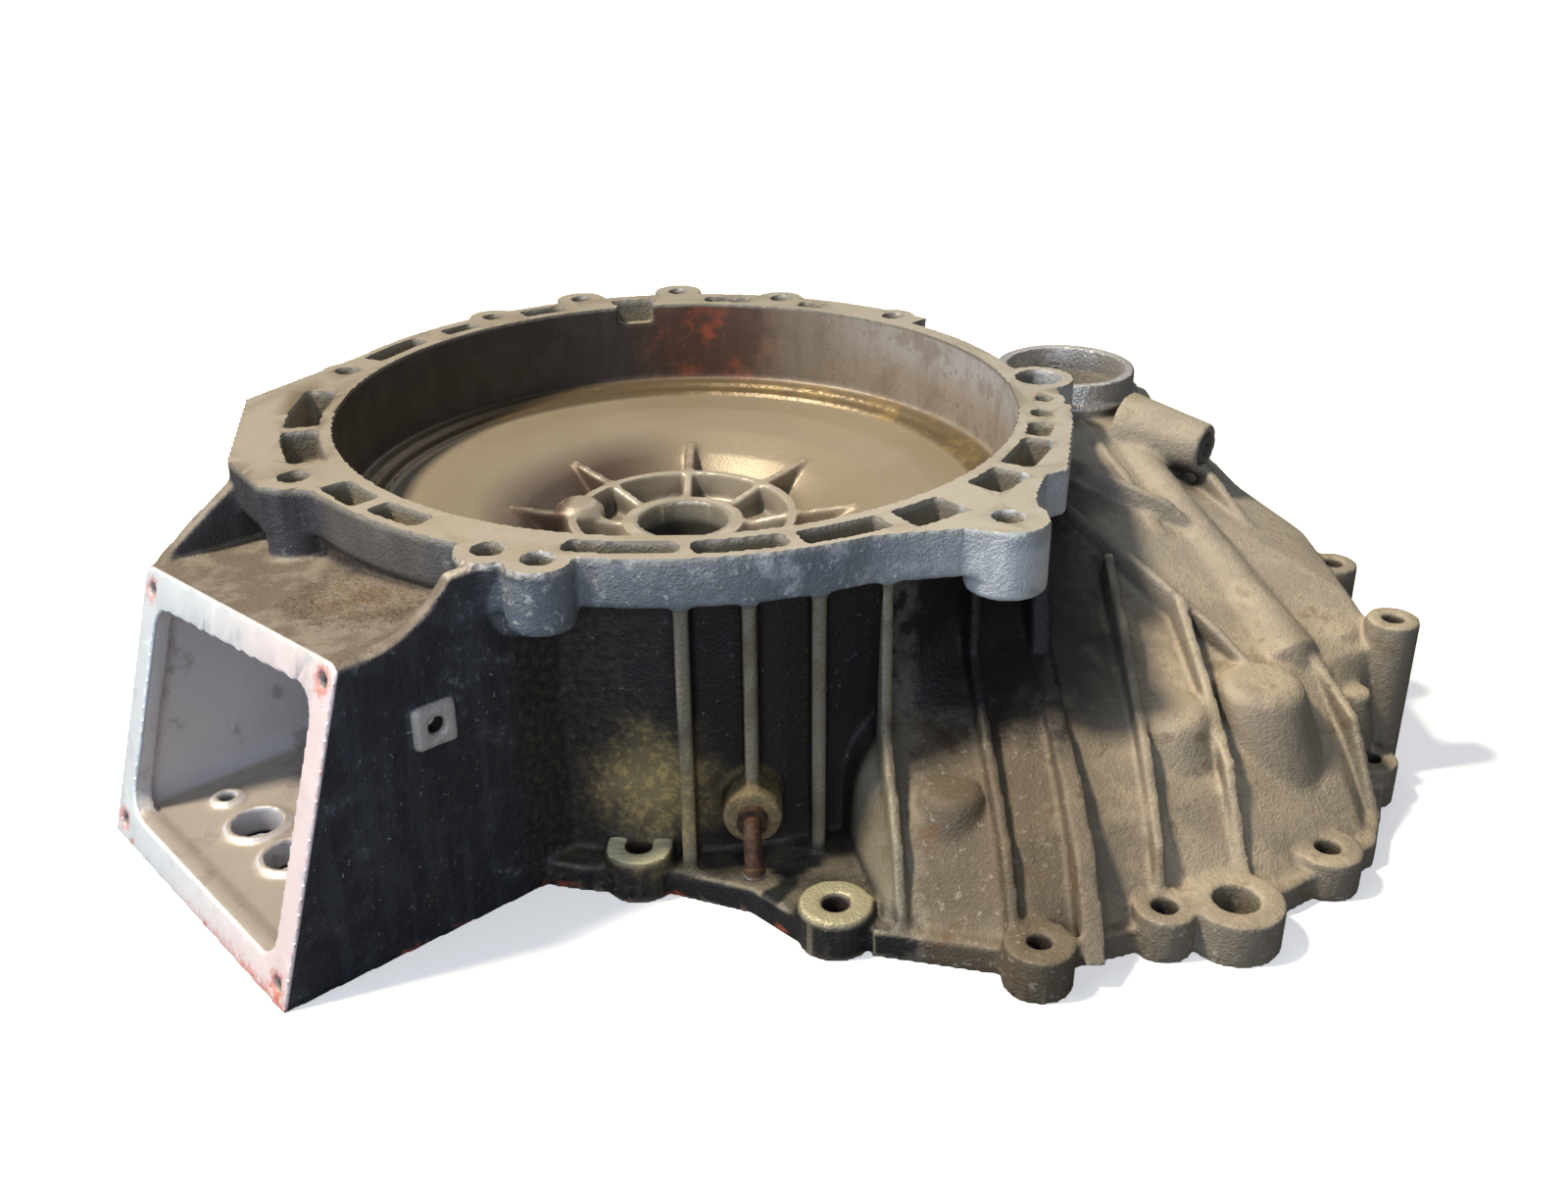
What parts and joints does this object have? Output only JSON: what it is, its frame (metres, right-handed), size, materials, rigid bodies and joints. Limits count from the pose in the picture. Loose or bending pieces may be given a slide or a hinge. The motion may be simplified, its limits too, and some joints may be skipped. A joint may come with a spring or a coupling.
{
  "type": "gearbox bell housing",
  "caption": "Cast aluminium gearbox bell housing with ribbed hub, bolted engine flange, leaning box duct, ribbed differential side, output collar and gearbox flange.",
  "frame": {"origin": "crankshaft axis at the engine-side face", "axes": "+Z along the crankshaft axis towards the engine, +X towards the output collar, -Y towards the ribbed front wall"},
  "size_m": [0.6035, 0.4725, 0.16],
  "materials": {
    "cast_aluminium": "as cast, weathered and oily",
    "tube_steel": "rusty, bright at the tip",
    "plug_steel": "dull"
  },
  "bodies": {
    "root": {"housing": "cast_aluminium", "breather_tube": "tube_steel", "level_plug": "plug_steel"}
  },
  "joints": []
}
